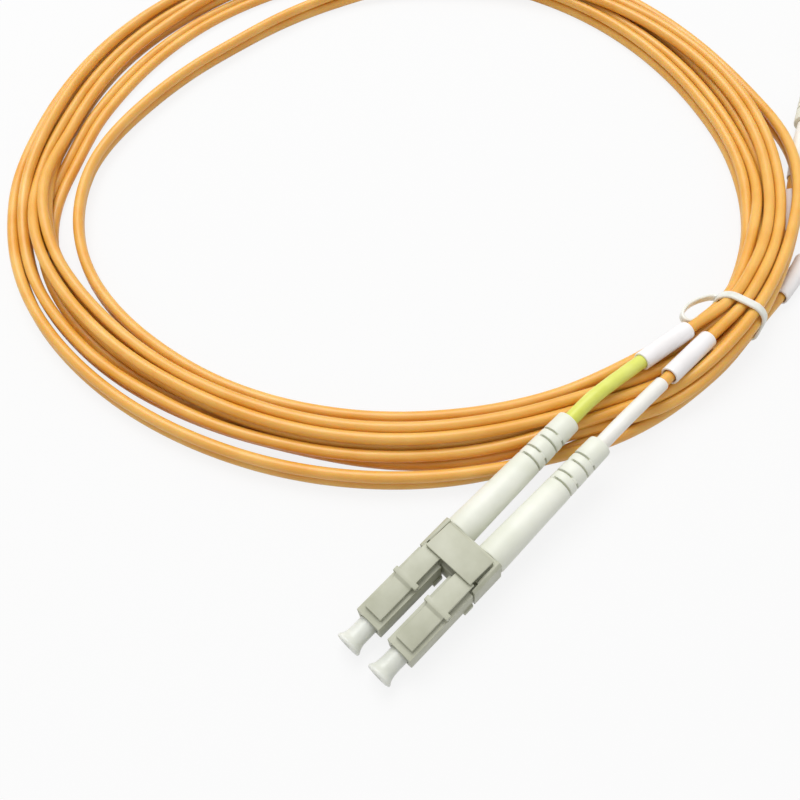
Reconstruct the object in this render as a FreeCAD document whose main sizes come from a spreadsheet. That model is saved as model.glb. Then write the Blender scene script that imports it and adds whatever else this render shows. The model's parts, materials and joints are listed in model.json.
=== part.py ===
import FreeCAD, Part
import math
import os
import Sketcher

# A twin fibre optic patch cable: two twin plugs, four split legs and one tied coil.
# Millimetres and degrees. The origin is the coil's middle on the table, +Z is up, and
# +X runs along the near twin plug from its noses towards its boots.
# Each plug is drawn in a frame of its own: x from the nose's front face towards the boot,
# y across the pair, z up, with the ferrule's axis on the x axis.

V = FreeCAD.Vector

DIMENSIONS = {
    # Twin plug
    "plug_pitch": 6.25,
    "housing_side": 4.5,
    "housing_length": 12.9,
    "housing_chamfer": 0.35,
    "tail_side": 3.6,
    "tail_end": 17.5,
    "nose_bore_radius": 1.7,
    "nose_depth": 7.0,
    "seat_flats": 2.0,
    "seat_end": 8.2,
    "cavity_side": 2.7,
    "snap_rib_start": 10.9,
    "snap_rib_end": 12.7,
    "snap_rib_width": 5.1,
    "snap_rib_low": 2.45,
    "snap_rib_high": 1.3,
    # Latch lever on the plug's roof
    "latch_front": 1.1,
    "latch_pivot": 2.0,
    "latch_width": 3.2,
    "latch_front_top": 2.76,
    "latch_end": 13.9,
    "ear_start": 7.5,
    "ear_length": 0.9,
    "ear_width": 4.5,
    "hinge_gap": 0.02,
    # Ferrule, its collar and its spring
    "ferrule_radius": 0.625,
    "ferrule_reach": 1.8,
    "ferrule_end": 9.5,
    "collar_start": 8.25,
    "collar_end": 9.6,
    "collar_flats": 2.3,
    "spring_start": 9.62,
    "spring_end": 13.38,
    "spring_radius": 1.07,
    "spring_wire": 0.28,
    "spring_turns": 3,
    # Crimp body behind the housing
    "crimp_start": 13.4,
    "crimp_side": 2.6,
    "crimp_collar_end": 18.8,
    "crimp_collar_side": 3.5,
    "crimp_ring_flats": 2.7,
    "crimp_ring_end": 26.5,
    "crimp_bore": 1.0,
    # Boot
    "boot_start": 19.0,
    "boot_end": 44.8,
    "boot_front_radius": 2.55,
    "boot_rear_radius": 2.0,
    "boot_turn": 41.0,
    "boot_mouth_radius": 1.8,
    "boot_bore": 1.06,
    "slot_first": 34.9,
    "slot_group_step": 4.1,
    "slot_offset": 1.65,
    "slot_width": 0.4,
    "slot_floor": 1.35,
    # Dust cap
    "cap_end": 4.38,
    "cap_rim_radius": 2.12,
    "cap_rim_length": 0.45,
    "cap_flare_length": 1.7,
    "cap_radius": 1.55,
    "cap_depth": 4.2,
    "cap_bore": 0.675,
    "cap_bore_end": 2.1,
    # Twin clip and its trigger
    "clip_front": 13.2,
    "clip_rear": 19.0,
    "clip_width": 11.0,
    "clip_low": 2.75,
    "clip_roof": 2.45,
    "clip_wall_top": 2.8,
    "clip_bevel": 0.45,
    "clip_slot": 2.3,
    "clip_roof_start": 14.6,
    "clip_notch_width": 9.75,
    "clip_well_width": 9.3,
    "trigger_width": 8.77,
    "trigger_front": 13.4,
    "trigger_rear": 18.4,
    "trigger_front_top": 4.12,
    "trigger_rear_top": 3.44,
    "trigger_pivot": 17.5,
    "trigger_thickness": 0.5,
    # Cord and what is threaded on it
    "cord_radius": 1.0,
    "fibre_radius": 0.45,
    "fibre_start": 10.45,
    "cord_start": 23.6,
    "sleeve_bore": 1.03,
    "marker_radius": 1.22,
    "marker_length": 15.4,
    "label_radius": 1.6,
    "label_length": 11.2,
    # Where the two twin plugs lie
    "near_nose_x": -71.1,
    "near_nose_y": -68.2,
    "near_nose_z": 2.7,
    "near_tilt": 5.5,
    "far_nose_x": 108.9,
    "far_nose_y": -39.1,
    "far_heading": 202.0,
    # Coil and tie
    "tie_angle": -80.0,
    "tie_radius": 73.4,
    "tie_strip_width": 1.5,
    "tie_strip_thickness": 0.8,
    "bundle_width": 8.6,
    "bundle_low": 1.0,
    "bundle_high": 8.9,
}

document = FreeCAD.newDocument("patch_cable")
sheet = document.addObject("Spreadsheet::Sheet", "dims")
for line, (name, value) in enumerate(DIMENSIONS.items(), 1):
    sheet.set(f"A{line}", name)
    sheet.set(f"B{line}", str(value))
    sheet.setAlias(f"B{line}", name)
document.recompute()


class Size:
    """A length with its value and the formula that ties it to the sheet."""

    def __init__(self, value, formula):
        self.value = value
        self.formula = formula

    def __add__(self, other):
        other = as_size(other)
        return Size(self.value + other.value, f"({self.formula} + {other.formula})")

    def __sub__(self, other):
        other = as_size(other)
        return Size(self.value - other.value, f"({self.formula} - {other.formula})")

    def __mul__(self, factor):
        return Size(self.value * factor, f"({self.formula} * {factor})")

    def __truediv__(self, divisor):
        return Size(self.value / divisor, f"({self.formula} / {divisor})")

    def __neg__(self):
        return Size(-self.value, f"(0 - {self.formula})")


def as_size(length):
    """A plain number as a size with no tie to the sheet."""
    return length if isinstance(length, Size) else Size(float(length), str(float(length)))


def dim(name):
    """The driving dimension of this name."""
    return Size(float(sheet.get(name)), f"dims.{name}")


# Flexible and hidden round pieces are drawn with this many flat sides.
SPRING_SIDES = 6
CORD_SIDES = 10
BOOT_SIDES = 12

nodes = {}


def keep(node, thing, placement):
    """Name a sub-part after its node and put it in its place."""
    thing.Label = node
    thing.Placement = placement
    nodes[node] = thing
    return thing


def origin_feature(body, role):
    """One of the body's own origin planes or axes."""
    return [f for f in body.Origin.OriginFeatures if f.Role == role][0]


def outline(body, plane, loops):
    """A sketch of closed straight-sided loops, every corner tied to the sheet."""
    sketch = body.newObject("Sketcher::SketchObject", "outline")
    sketch.AttachmentSupport = [(origin_feature(body, plane), "")]
    sketch.MapMode = "FlatFace"
    for loop in loops:
        corners = [(as_size(x), as_size(y)) for x, y in loop]
        points = [V(x.value, y.value, 0) for x, y in corners]
        first = sketch.GeometryCount
        count = len(points)
        for i in range(count):
            sketch.addGeometry(Part.LineSegment(points[i], points[(i + 1) % count]))
        for i in range(count):
            following = first + (i + 1) % count
            sketch.addConstraint(Sketcher.Constraint("Coincident", first + i, 2, following, 1))
        for i, (x, y) in enumerate(corners):
            for kind, size in (("DistanceX", x), ("DistanceY", y)):
                constraint = Sketcher.Constraint(kind, -1, 1, first + i, 1, size.value)
                index = sketch.addConstraint(constraint)
                if "dims." in size.formula:
                    sketch.setExpression(f"Constraints[{index}]", size.formula)
    return sketch


def set_length(feature, length):
    """Tie a feature's length to the sheet."""
    feature.Length = length.value
    feature.setExpression("Length", length.formula)


def pad_across(body, loops, width):
    """A side view in the XZ plane, padded to both sides of it."""
    feature = body.newObject("PartDesign::Pad", "pad")
    feature.Profile = outline(body, "XZ_Plane", loops)
    feature.SideType = "Symmetric"
    set_length(feature, width)


def pad_along(body, loops, length):
    """A front view in the YZ plane, padded along the plug from the nose."""
    feature = body.newObject("PartDesign::Pad", "pad")
    feature.Profile = outline(body, "YZ_Plane", loops)
    set_length(feature, length)


def cut_across(body, plane, loops, width):
    """A pocket to both sides of a plane."""
    feature = body.newObject("PartDesign::Pocket", "pocket")
    feature.Profile = outline(body, plane, loops)
    feature.SideType = "Symmetric"
    set_length(feature, width)


def cut_along(body, loops, length):
    """A pocket seen from the front, cut along the plug from the nose."""
    feature = body.newObject("PartDesign::Pocket", "pocket")
    feature.Profile = outline(body, "YZ_Plane", loops)
    feature.Reversed = True
    set_length(feature, length)


def turn(body, loop, kind="PartDesign::Revolution"):
    """A half section in the XY plane, turned about the x axis, to add or to cut."""
    feature = body.newObject(kind, "turned")
    feature.Profile = outline(body, "XY_Plane", [loop])
    feature.ReferenceAxis = (origin_feature(body, "X_Axis"), [""])
    feature.Angle = 360


def rectangle(low_x, low_y, high_x, high_y):
    """The corners of an upright rectangle."""
    return [(low_x, low_y), (high_x, low_y), (high_x, high_y), (low_x, high_y)]


def square(side):
    """A square about the axis."""
    half = side / 2
    return rectangle(-half, -half, half, half)


def many_sided(count, radius):
    """A regular outline about the axis whose flat sides lie at this radius."""
    corner = radius / math.cos(math.pi / count)
    angles = [2 * math.pi * (i + 0.5) / count for i in range(count)]
    return [(corner * math.cos(angle), corner * math.sin(angle)) for angle in angles]


def hexagon(flats):
    """A hexagon about the axis, by the distance across its flats."""
    return many_sided(6, flats / 2)


def loft_along(body, kind, ends):
    """A straight taper between two outlines that stand across the plug."""
    sketches = []
    for distance, loop in ends:
        sketch = outline(body, "YZ_Plane", [loop])
        sketch.AttachmentOffset = FreeCAD.Placement(V(0, 0, distance.value), FreeCAD.Rotation())
        sketch.setExpression("AttachmentOffset.Base.z", distance.formula)
        sketches.append(sketch)
    feature = body.newObject(kind, "taper")
    feature.Profile = sketches[0]
    feature.Sections = sketches[1:]
    feature.Ruled = True


def skinned(sections, closed):
    """A solid of flat faces over a row of outlines with the same number of corners."""
    faces = []
    following = sections[1:] + (sections[:1] if closed else [])
    for here, after in zip(sections, following):
        for i in range(len(here)):
            j = (i + 1) % len(here)
            for corners in ([here[i], here[j], after[j]], [here[i], after[j], after[i]]):
                faces.append(Part.Face(Part.makePolygon(corners + corners[:1])))
    if not closed:
        for end in (sections[0], sections[-1]):
            faces.append(Part.Face(Part.makePolygon(end + end[:1])))
    shell = Part.makeShell(faces)
    shell.sewShape()
    solid = Part.makeSolid(shell)
    if solid.Volume < 0:
        solid.reverse()
    return solid.removeSplitter()


def new_body(name):
    return document.addObject("PartDesign::Body", name)


# Pieces of one plug


def plug_housing(node, place):
    """Moulded square housing with a narrower tail, a snap rib and a stepped bore."""
    body = new_body(node)
    half = dim("housing_side") / 2
    cut = dim("housing_chamfer")
    front_view = [
        (-half, -half + cut),
        (-half + cut, -half),
        (half - cut, -half),
        (half, -half + cut),
        (half, half),
        (-half, half),
    ]
    pad_along(body, [front_view], dim("housing_length"))
    pad_along(body, [square(dim("tail_side"))], dim("tail_end"))
    rib = rectangle(
        dim("snap_rib_start"), -dim("snap_rib_low"), dim("snap_rib_end"), -dim("snap_rib_high")
    )
    pad_across(body, [rib], dim("snap_rib_width"))
    bore = rectangle(0, 0, dim("nose_depth"), dim("nose_bore_radius"))
    turn(body, bore, "PartDesign::Groove")
    cut_along(body, [hexagon(dim("seat_flats"))], dim("seat_end"))
    cavity = dim("cavity_side")
    side_view = rectangle(dim("seat_end"), -cavity / 2, dim("tail_end"), cavity / 2)
    cut_across(body, "XZ_Plane", [side_view], cavity)
    return keep(node, body, place)


def latch_lever(node, place):
    """Springy lever that rises from its root near the nose, with two catch ears."""
    body = new_body(node)
    roof = dim("housing_side") / 2 + dim("hinge_gap")
    front = dim("latch_front")
    top = dim("latch_front_top")
    end = dim("latch_end")
    ear = dim("ear_start")
    side_view = [
        (front, roof),
        (dim("latch_pivot"), roof),
        (ear - 0.7, roof + 0.35),
        (end - 1.5, roof + 0.78),
        (end, roof + 0.74),
        (end, top + 0.68),
        (end - 1.5, top + 0.86),
        (ear + 0.1, top + 0.62),
        (ear - 0.7, top + 0.26),
        (front, top),
    ]
    pad_across(body, [side_view], dim("latch_width"))
    ears = rectangle(ear, roof + 0.55, ear + dim("ear_length"), top + 0.62)
    pad_across(body, [ears], dim("ear_width"))
    return keep(node, body, place)


def ferrule(node, place):
    """Plain ceramic rod that carries the fibre's end."""
    body = new_body(node)
    radius = dim("ferrule_radius")
    turn(body, rectangle(-dim("ferrule_reach"), 0, dim("ferrule_end"), radius))
    return keep(node, body, place)


def ferrule_collar(node, place):
    """Six-sided collar pressed on the ferrule, which the spring pushes forward."""
    body = new_body(node)
    pad_along(body, [hexagon(dim("collar_flats"))], dim("collar_end"))
    front = rectangle(0, -dim("collar_flats"), dim("collar_start"), dim("collar_flats"))
    cut_across(body, "XZ_Plane", [front], dim("collar_flats") * 2)
    bore = rectangle(dim("collar_start"), 0, dim("collar_end"), dim("ferrule_radius"))
    turn(body, bore, "PartDesign::Groove")
    return keep(node, body, place)


def ferrule_spring(node, place):
    """Compression spring of square wire between the collar and the crimp body."""
    half_wire = dim("spring_wire").value / 2
    radius = dim("spring_radius").value
    start = dim("spring_start").value + half_wire
    length = dim("spring_end").value - half_wire - start
    steps = DIMENSIONS["spring_turns"] * SPRING_SIDES
    sections = []
    for step in range(steps + 1):
        middle = start + length * step / steps
        turned = FreeCAD.Rotation(V(1, 0, 0), 360 * step / SPRING_SIDES)
        corners = []
        for across, along in ((-1, -1), (1, -1), (1, 1), (-1, 1)):
            corner = V(middle + along * half_wire, radius + across * half_wire, 0)
            corners.append(turned.multVec(corner))
        sections.append(corners)
    feature = document.addObject("Part::Feature", node)
    feature.Shape = skinned(sections, False)
    return keep(node, feature, place)


def crimp_body(node, place):
    """Rear insert: a square front in the housing, a collar, and the six-sided crimped ring."""
    body = new_body(node)
    pad_along(body, [hexagon(dim("crimp_ring_flats"))], dim("crimp_ring_end"))
    pad_along(body, [square(dim("crimp_collar_side"))], dim("crimp_collar_end"))
    front = rectangle(0, -dim("tail_side"), dim("crimp_start"), dim("tail_side"))
    cut_across(body, "XZ_Plane", [front], dim("tail_side") * 2)
    side = dim("crimp_side") / 2
    reach = dim("tail_side")
    neck = [
        rectangle(dim("crimp_start"), side, dim("tail_end"), reach),
        rectangle(dim("crimp_start"), -reach, dim("tail_end"), -side),
    ]
    cut_across(body, "XZ_Plane", neck, reach * 2)
    cut_across(body, "XY_Plane", neck, reach * 2)
    bore = rectangle(dim("crimp_start"), 0, dim("crimp_ring_end"), dim("crimp_bore"))
    turn(body, bore, "PartDesign::Groove")
    return keep(node, body, place)


def boot(node, place):
    """Moulded bend-relief boot, tapered outside and inside, with staggered half slots."""
    body = new_body(node)
    shells = (
        ("PartDesign::AdditiveLoft", "boot_front_radius", "boot_rear_radius"),
        ("PartDesign::SubtractiveLoft", "boot_mouth_radius", "boot_bore"),
    )
    for kind, front, rear in shells:
        front_outline = many_sided(BOOT_SIDES, dim(front))
        rear_outline = many_sided(BOOT_SIDES, dim(rear))
        ends = [(dim("boot_start"), front_outline), (dim("boot_end"), rear_outline)]
        loft_along(body, kind, ends)
    reach = dim("boot_front_radius") * 2
    floor = dim("slot_floor")
    for plane, shift in (("XZ_Plane", 0), ("XY_Plane", dim("slot_offset"))):
        slots = []
        for group in range(2):
            start = dim("slot_first") + dim("slot_group_step") * group + shift
            end = start + dim("slot_width")
            slots.append(rectangle(start, floor, end, reach))
            slots.append(rectangle(start, -reach, end, -floor))
        cut_across(body, plane, slots, reach)
    turned = FreeCAD.Rotation(V(1, 0, 0), dim("boot_turn").value)
    return keep(node, body, place.multiply(FreeCAD.Placement(V(0, 0, 0), turned)))


def dust_cap(node, place):
    """Push-on cap over the ferrule, flared to a wide rim to pull it by."""
    body = new_body(node)
    end = -dim("cap_end")
    half_section = [
        (end, 0),
        (end, dim("cap_rim_radius")),
        (end + dim("cap_rim_length"), dim("cap_rim_radius")),
        (end + dim("cap_flare_length"), dim("cap_radius")),
        (dim("cap_depth"), dim("cap_radius")),
        (dim("cap_depth"), dim("cap_bore")),
        (-dim("cap_bore_end"), dim("cap_bore")),
        (-dim("cap_bore_end"), 0),
    ]
    turn(body, half_section)
    return keep(node, body, place)


# Pieces of one twin clip


def duplex_clip(node, place):
    """Clip that holds two plugs side by side, open below, with a well for the trigger."""
    body = new_body(node)
    side = dim("clip_width") / 2
    bevel = dim("clip_bevel")
    well = dim("clip_well_width") / 2
    front_view = [
        (-side, -dim("clip_low")),
        (side, -dim("clip_low")),
        (side, dim("clip_wall_top") - bevel),
        (side - bevel, dim("clip_wall_top")),
        (well, dim("clip_wall_top")),
        (well, dim("clip_roof")),
        (-well, dim("clip_roof")),
        (-well, dim("clip_wall_top")),
        (bevel - side, dim("clip_wall_top")),
        (-side, dim("clip_wall_top") - bevel),
    ]
    pad_along(body, [front_view], dim("clip_rear"))
    ahead = rectangle(0, -dim("clip_width"), dim("clip_front"), dim("clip_width"))
    cut_across(body, "XZ_Plane", [ahead], dim("clip_width") * 2)
    lever_notch = rectangle(
        dim("clip_front"), dim("tail_side") / 2, dim("clip_roof_start"), dim("clip_width")
    )
    cut_across(body, "XZ_Plane", [lever_notch], dim("clip_notch_width"))
    half = dim("tail_side") / 2
    slot = dim("clip_slot") / 2
    openings = []
    for sign in (1, -1):
        middle = dim("plug_pitch") / 2 * sign
        openings.append(
            [
                (middle - slot, -dim("clip_width")),
                (middle + slot, -dim("clip_width")),
                (middle + slot, -half),
                (middle + half, -half),
                (middle + half, half),
                (middle - half, half),
                (middle - half, -half),
                (middle - slot, -half),
            ]
        )
    cut_along(body, openings, dim("clip_rear"))
    return keep(node, body, place)


def trigger(node, place):
    """Sloping thumb plate on a root at its rear, reaching over both latch levers."""
    body = new_body(node)
    foot = dim("clip_roof") + dim("hinge_gap")
    thick = dim("trigger_thickness")
    side_view = [
        (dim("trigger_front"), dim("trigger_front_top") - thick),
        (dim("trigger_pivot"), dim("trigger_rear_top") - thick + 0.12),
        (dim("trigger_pivot"), foot),
        (dim("trigger_rear"), foot),
        (dim("trigger_rear"), dim("trigger_rear_top")),
        (dim("trigger_front"), dim("trigger_front_top")),
    ]
    pad_across(body, [side_view], dim("trigger_width"))
    return keep(node, body, place)


# Cords


def rounded_path(points):
    """Straight runs joined by tangent arcs as large as the runs allow, and their radii."""
    edges = []
    radii = []
    start = points[0]
    for before, corner, after in zip(points, points[1:], points[2:]):
        back = before - corner
        ahead = after - corner
        reach = 0.45 * min(back.Length, ahead.Length)
        half_turn = (math.pi - back.getAngle(ahead)) / 2
        radii.append(reach / math.tan(half_turn))
        arc_start = corner + V(back).normalize() * reach
        arc_end = corner + V(ahead).normalize() * reach
        towards = (V(back).normalize() + V(ahead).normalize()).normalize()
        sagitta = radii[-1] * (1 / math.cos(half_turn) - 1)
        edges.append(Part.LineSegment(start, arc_start).toShape())
        edges.append(Part.Arc(arc_start, corner + towards * sagitta, arc_end).toShape())
        start = arc_end
    edges.append(Part.LineSegment(start, points[-1]).toShape())
    return Part.Wire(edges), radii


def tube(wire, radius):
    """A many-sided tube along a path, with the section area of a round one."""
    first = wire.Edges[0]
    start = first.valueAt(first.FirstParameter)
    to_path = FreeCAD.Rotation(V(1, 0, 0), first.tangentAt(first.FirstParameter))
    step = 2 * math.pi / CORD_SIDES
    corner = radius * math.sqrt(step / math.sin(step))
    points = []
    for i in range(CORD_SIDES):
        angle = step * i
        on_circle = V(0, corner * math.cos(angle), corner * math.sin(angle))
        points.append(start + to_path.multVec(on_circle))
    section = Part.makePolygon(points + points[:1])
    return wire.makePipeShell([section], True, False)


def path_frame(wire, distance):
    """A place on a path, with its x axis along the path."""
    for edge in wire.Edges:
        if distance <= edge.Length:
            break
        distance -= edge.Length
    along = edge.getParameterByLength(distance)
    turn_to = FreeCAD.Rotation(V(1, 0, 0), edge.tangentAt(along))
    return FreeCAD.Placement(edge.valueAt(along), turn_to)


def leg(node, points, plug_place):
    """One split leg: the jacket along its route, and the stripped fibre at its plug."""
    wire, radii = rounded_path(points)
    radius = dim("cord_radius").value
    jacket = tube(wire, radius)
    share = jacket.Volume / (math.pi * radius**2 * wire.Length)
    print(node, "length %.1f" % wire.Length, "volume over section times length %.4f" % share)
    print(node, "bend radii", ["%.0f" % r for r in radii])
    ends = [V(DIMENSIONS[name], 0, 0) for name in ("fibre_start", "cord_start")]
    bare_line = Part.LineSegment(*[plug_place.multVec(end) for end in ends]).toShape()
    bare = tube(Part.Wire([bare_line]), dim("fibre_radius").value)
    feature = document.addObject("Part::Feature", node)
    feature.Shape = jacket.fuse(bare)
    keep(node, feature, FreeCAD.Placement())
    return wire


def threaded_sleeve(node, wire, start, length, radius):
    """A short plain sleeve threaded on a leg."""
    body = new_body(node)
    feature = body.newObject("PartDesign::Pad", "pad")
    section = [many_sided(CORD_SIDES, size) for size in (radius, dim("sleeve_bore"))]
    feature.Profile = outline(body, "YZ_Plane", section)
    feature.SideType = "Symmetric"
    set_length(feature, length)
    return keep(node, body, path_frame(wire, start + length.value / 2))


# Coil
# Each station is the angle round the coil, the inner and outer radius that the turns
# reach there, and the lowest and highest level of the bundle.
COIL_STATIONS = [
    (-100, 64.6, 75.5, 0.0, 4.0),
    (-88, 67.8, 76.4, 0.0, 4.3),
    (-84, 69.0, 77.6, 1.0, 8.7),
    (-76, 69.0, 77.6, 1.0, 8.7),
    (-66, 67.6, 75.4, 0.0, 8.0),
    (-50, 66.2, 74.8, 0.0, 7.0),
    (-36, 62.6, 75.0, 0.0, 6.2),
    (0, 58.0, 75.5, 0.0, 6.0),
    (45, 54.0, 75.0, 0.0, 6.0),
    (90, 50.0, 75.0, 0.0, 5.0),
    (120, 54.0, 75.0, 0.0, 5.0),
    (150, 61.8, 76.8, 0.0, 4.6),
    (180, 62.0, 76.2, 0.0, 4.4),
    (205, 61.0, 74.9, 0.0, 4.3),
    (225, 60.0, 74.4, 0.0, 4.2),
    (248, 61.4, 74.8, 0.0, 3.9),
]
# The tied stretch is drawn by four close sections, and the rest by even steps.
TIE_CORNER = 1.9
# The loose loop's route in the tie's own frame: outward from the coil's middle, along the
# coil, and up.
TIE_LOOP = [
    (-4.6, 1.2, 5.0),
    (-6.8, -0.6, 5.0),
    (-8.3, -3.4, 5.0),
    (-8.8, -5.6, 5.0),
    (-8.4, -7.2, 5.0),
    (-7.2, -7.6, 5.0),
]
CLOSE_SECTIONS = [-100, -94, -88, -84, -76, -70]
EVEN_SECTIONS = range(-60, 260, 10)


def between_stations(angle):
    """Radii and levels at any angle, eased from one station to the next."""
    full_turn = COIL_STATIONS + [(COIL_STATIONS[0][0] + 360,) + COIL_STATIONS[0][1:]]
    for here, after in zip(full_turn, full_turn[1:]):
        if here[0] <= angle <= after[0]:
            share = (angle - here[0]) / (after[0] - here[0])
            ease = share * share * (3 - 2 * share)
            return [a + (b - a) * ease for a, b in zip(here[1:], after[1:])]
    raise ValueError(angle)


def coil_section(angle):
    """Corners of the outline of all turns together at one angle, blunt at the edges."""
    inner, outer, low, high = between_stations(angle)
    blunt = 0.3 * (high - low)
    turn_to = math.radians(angle)
    profile = [
        (inner + blunt, low),
        (outer - blunt, low),
        (outer, low + blunt),
        (outer, high - blunt),
        (outer - blunt, high),
        (inner + blunt, high),
        (inner, high - blunt),
        (inner, low + blunt),
    ]
    return [V(r * math.cos(turn_to), r * math.sin(turn_to), z) for r, z in profile]


def cord_coil(node):
    """One closed solid of the outer shape of the tied coil, flat where it lies on the table."""
    sections = [coil_section(angle) for angle in [*CLOSE_SECTIONS, *EVEN_SECTIONS]]
    feature = document.addObject("Part::Feature", node)
    feature.Shape = skinned(sections, True)
    return keep(node, feature, FreeCAD.Placement())


def tie_outline(half_width, low, high, corner):
    """Rounded outline of the tie round the bundle, across and up."""
    points = []
    for across, up, first in ((1, 1, 0), (-1, 1, 90), (-1, -1, 180), (1, -1, 270)):
        middle_across = across * (half_width - corner)
        middle_up = high - corner if up > 0 else low + corner
        for angle in (first, first + 45, first + 90):
            turned = math.radians(angle)
            points.append(
                V(middle_across + corner * math.cos(turned), 0, middle_up + corner * math.sin(turned))
            )
    return Part.makePolygon(points + points[:1])


def twist_tie(node):
    """A coated strip bent once round the bundle, with its end turned into a loose loop."""
    thick = DIMENSIONS["tie_strip_thickness"]
    width = DIMENSIONS["tie_strip_width"]
    half = DIMENSIONS["bundle_width"] / 2
    low = DIMENSIONS["bundle_low"]
    high = DIMENSIONS["bundle_high"]
    around = tie_outline(half + thick, low - thick, high + thick, TIE_CORNER + thick)
    inside = tie_outline(half, low, high, TIE_CORNER)
    band = Part.Face(around).cut(Part.Face(inside)).extrude(V(0, width, 0))
    angle = math.radians(DIMENSIONS["tie_angle"])
    outward = V(math.cos(angle), math.sin(angle), 0)
    along = V(-math.sin(angle), math.cos(angle), 0)
    to_tie = FreeCAD.Rotation(outward, along, V(0, 0, 1), "XYZ")
    place = FreeCAD.Placement(outward * DIMENSIONS["tie_radius"] - along * (width / 2), to_tie)
    left = []
    right = []
    for i, here in enumerate(TIE_LOOP):
        before = TIE_LOOP[max(i - 1, 0)]
        after = TIE_LOOP[min(i + 1, len(TIE_LOOP) - 1)]
        across = V(before[1] - after[1], after[0] - before[0], 0).normalize() * (thick / 2)
        left.append(V(*here) + across)
        right.append(V(*here) - across)
    corners = left + right[::-1]
    loop = Part.Face(Part.makePolygon(corners + corners[:1])).extrude(V(0, 0, width))
    feature = document.addObject("Part::Feature", node)
    feature.Shape = band.fuse(loop).removeSplitter()
    return keep(node, feature, place)


# Assembly

near_place = FreeCAD.Placement(
    V(dim("near_nose_x").value, dim("near_nose_y").value, dim("near_nose_z").value),
    FreeCAD.Rotation(V(0, 1, 0), -dim("near_tilt").value),
)
far_place = FreeCAD.Placement(
    V(dim("far_nose_x").value, dim("far_nose_y").value, dim("clip_low").value),
    FreeCAD.Rotation(V(0, 0, 1), dim("far_heading").value),
)
half_pitch = DIMENSIONS["plug_pitch"] / 2

# Each leg: the twin plug it leaves, its side of the pair, how far behind the boot its marker
# and label sleeves start, and its route on from the boot to the tie.
LEGS = {
    "a": (near_place, half_pitch, 0.8, 17.4, [(2.2, -67.8, 6.6), (16.0, -70.4, 7.2)]),
    "b": (near_place, -half_pitch, 0.8, 18.2, [(4.0, -71.4, 6.6), (17.0, -72.5, 7.2)]),
    "c": (
        far_place,
        half_pitch,
        0.8,
        36.5,
        [(47.0, -69.2, 1.75), (31.0, -73.8, 1.75), (15.0, -75.4, 2.6)],
    ),
    "d": (
        far_place,
        -half_pitch,
        0.8,
        20.5,
        [(44.5, -63.3, 1.75), (29.5, -71.2, 1.75), (16.5, -72.6, 2.6)],
    ),
}
BOOT_EXIT = 50.0

for twin, place in (("near", near_place), ("far", far_place)):
    duplex_clip(f"duplex_clip_{twin}", place)
    trigger(f"trigger_{twin}", place)

for key, (twin_place, offset, marker_gap, label_gap, bends) in LEGS.items():
    place = twin_place.multiply(FreeCAD.Placement(V(0, offset, 0), FreeCAD.Rotation()))
    plug_housing(f"plug_housing_{key}", place)
    latch_lever(f"latch_lever_{key}", place)
    ferrule(f"ferrule_{key}", place)
    ferrule_collar(f"ferrule_collar_{key}", place)
    ferrule_spring(f"ferrule_spring_{key}", place)
    crimp_body(f"crimp_body_{key}", place)
    boot(f"boot_{key}", place)
    dust_cap(f"dust_cap_{key}", place)
    inside = [place.multVec(V(x, 0, 0)) for x in (DIMENSIONS["cord_start"], BOOT_EXIT)]
    wire = leg(f"cord_leg_{key}", inside + [V(*bend) for bend in bends], place)
    hidden = DIMENSIONS["boot_end"] - DIMENSIONS["cord_start"]
    threaded_sleeve(
        f"marker_sleeve_{key}", wire, hidden + marker_gap, dim("marker_length"), dim("marker_radius")
    )
    threaded_sleeve(
        f"label_sleeve_{key}", wire, hidden + label_gap, dim("label_length"), dim("label_radius")
    )

cord_coil("cord_coil")
twist_tie("twist_tie")

document.recompute()
for thing in document.Objects:
    if "Invalid" in thing.State or "Error" in thing.State:
        raise RuntimeError(f"{thing.Label} failed: {thing.State}")
for node, thing in nodes.items():
    if thing.Shape.isNull() or not thing.Shape.isValid():
        raise RuntimeError(f"{node} has no valid shape")

os.makedirs("parts", exist_ok=True)
for node, thing in nodes.items():
    thing.Shape.exportStep(f"parts/{node}.step")
    print(node, "volume %.2f" % thing.Shape.Volume, "solids", len(thing.Shape.Solids))
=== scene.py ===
# %% [markdown]
# # A coiled fibre patch cable
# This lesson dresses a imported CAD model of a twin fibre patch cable: six loose turns of orange
# twin cord, a pair of small latching plugs at each end, sleeves on the legs and a twist tie.
# The CAD frame fixes every place and size. Blender adds the round cords, the soft edges of the
# moulded parts and the finish of each surface.

# %% Load the frame
import json
import math

import bmesh
import bpy
import numpy as np
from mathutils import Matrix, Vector


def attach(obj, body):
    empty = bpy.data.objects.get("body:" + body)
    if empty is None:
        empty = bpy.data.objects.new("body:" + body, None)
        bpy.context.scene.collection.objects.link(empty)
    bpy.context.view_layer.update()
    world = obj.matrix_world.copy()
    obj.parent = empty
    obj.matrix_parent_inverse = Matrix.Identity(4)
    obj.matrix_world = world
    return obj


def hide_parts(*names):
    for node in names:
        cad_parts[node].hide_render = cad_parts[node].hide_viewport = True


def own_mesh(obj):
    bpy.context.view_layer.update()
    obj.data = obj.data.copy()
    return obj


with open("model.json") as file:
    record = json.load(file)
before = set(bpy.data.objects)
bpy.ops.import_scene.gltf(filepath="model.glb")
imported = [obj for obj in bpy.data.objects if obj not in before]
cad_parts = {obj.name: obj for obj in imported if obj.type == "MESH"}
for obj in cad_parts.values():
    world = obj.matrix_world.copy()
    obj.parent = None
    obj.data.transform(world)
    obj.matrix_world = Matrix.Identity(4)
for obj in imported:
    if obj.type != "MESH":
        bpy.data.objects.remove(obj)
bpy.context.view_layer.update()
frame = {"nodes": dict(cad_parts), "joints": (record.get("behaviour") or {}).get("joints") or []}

MM = 0.001
UP = Vector((0, 0, 1))
scene = bpy.context.scene

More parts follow.
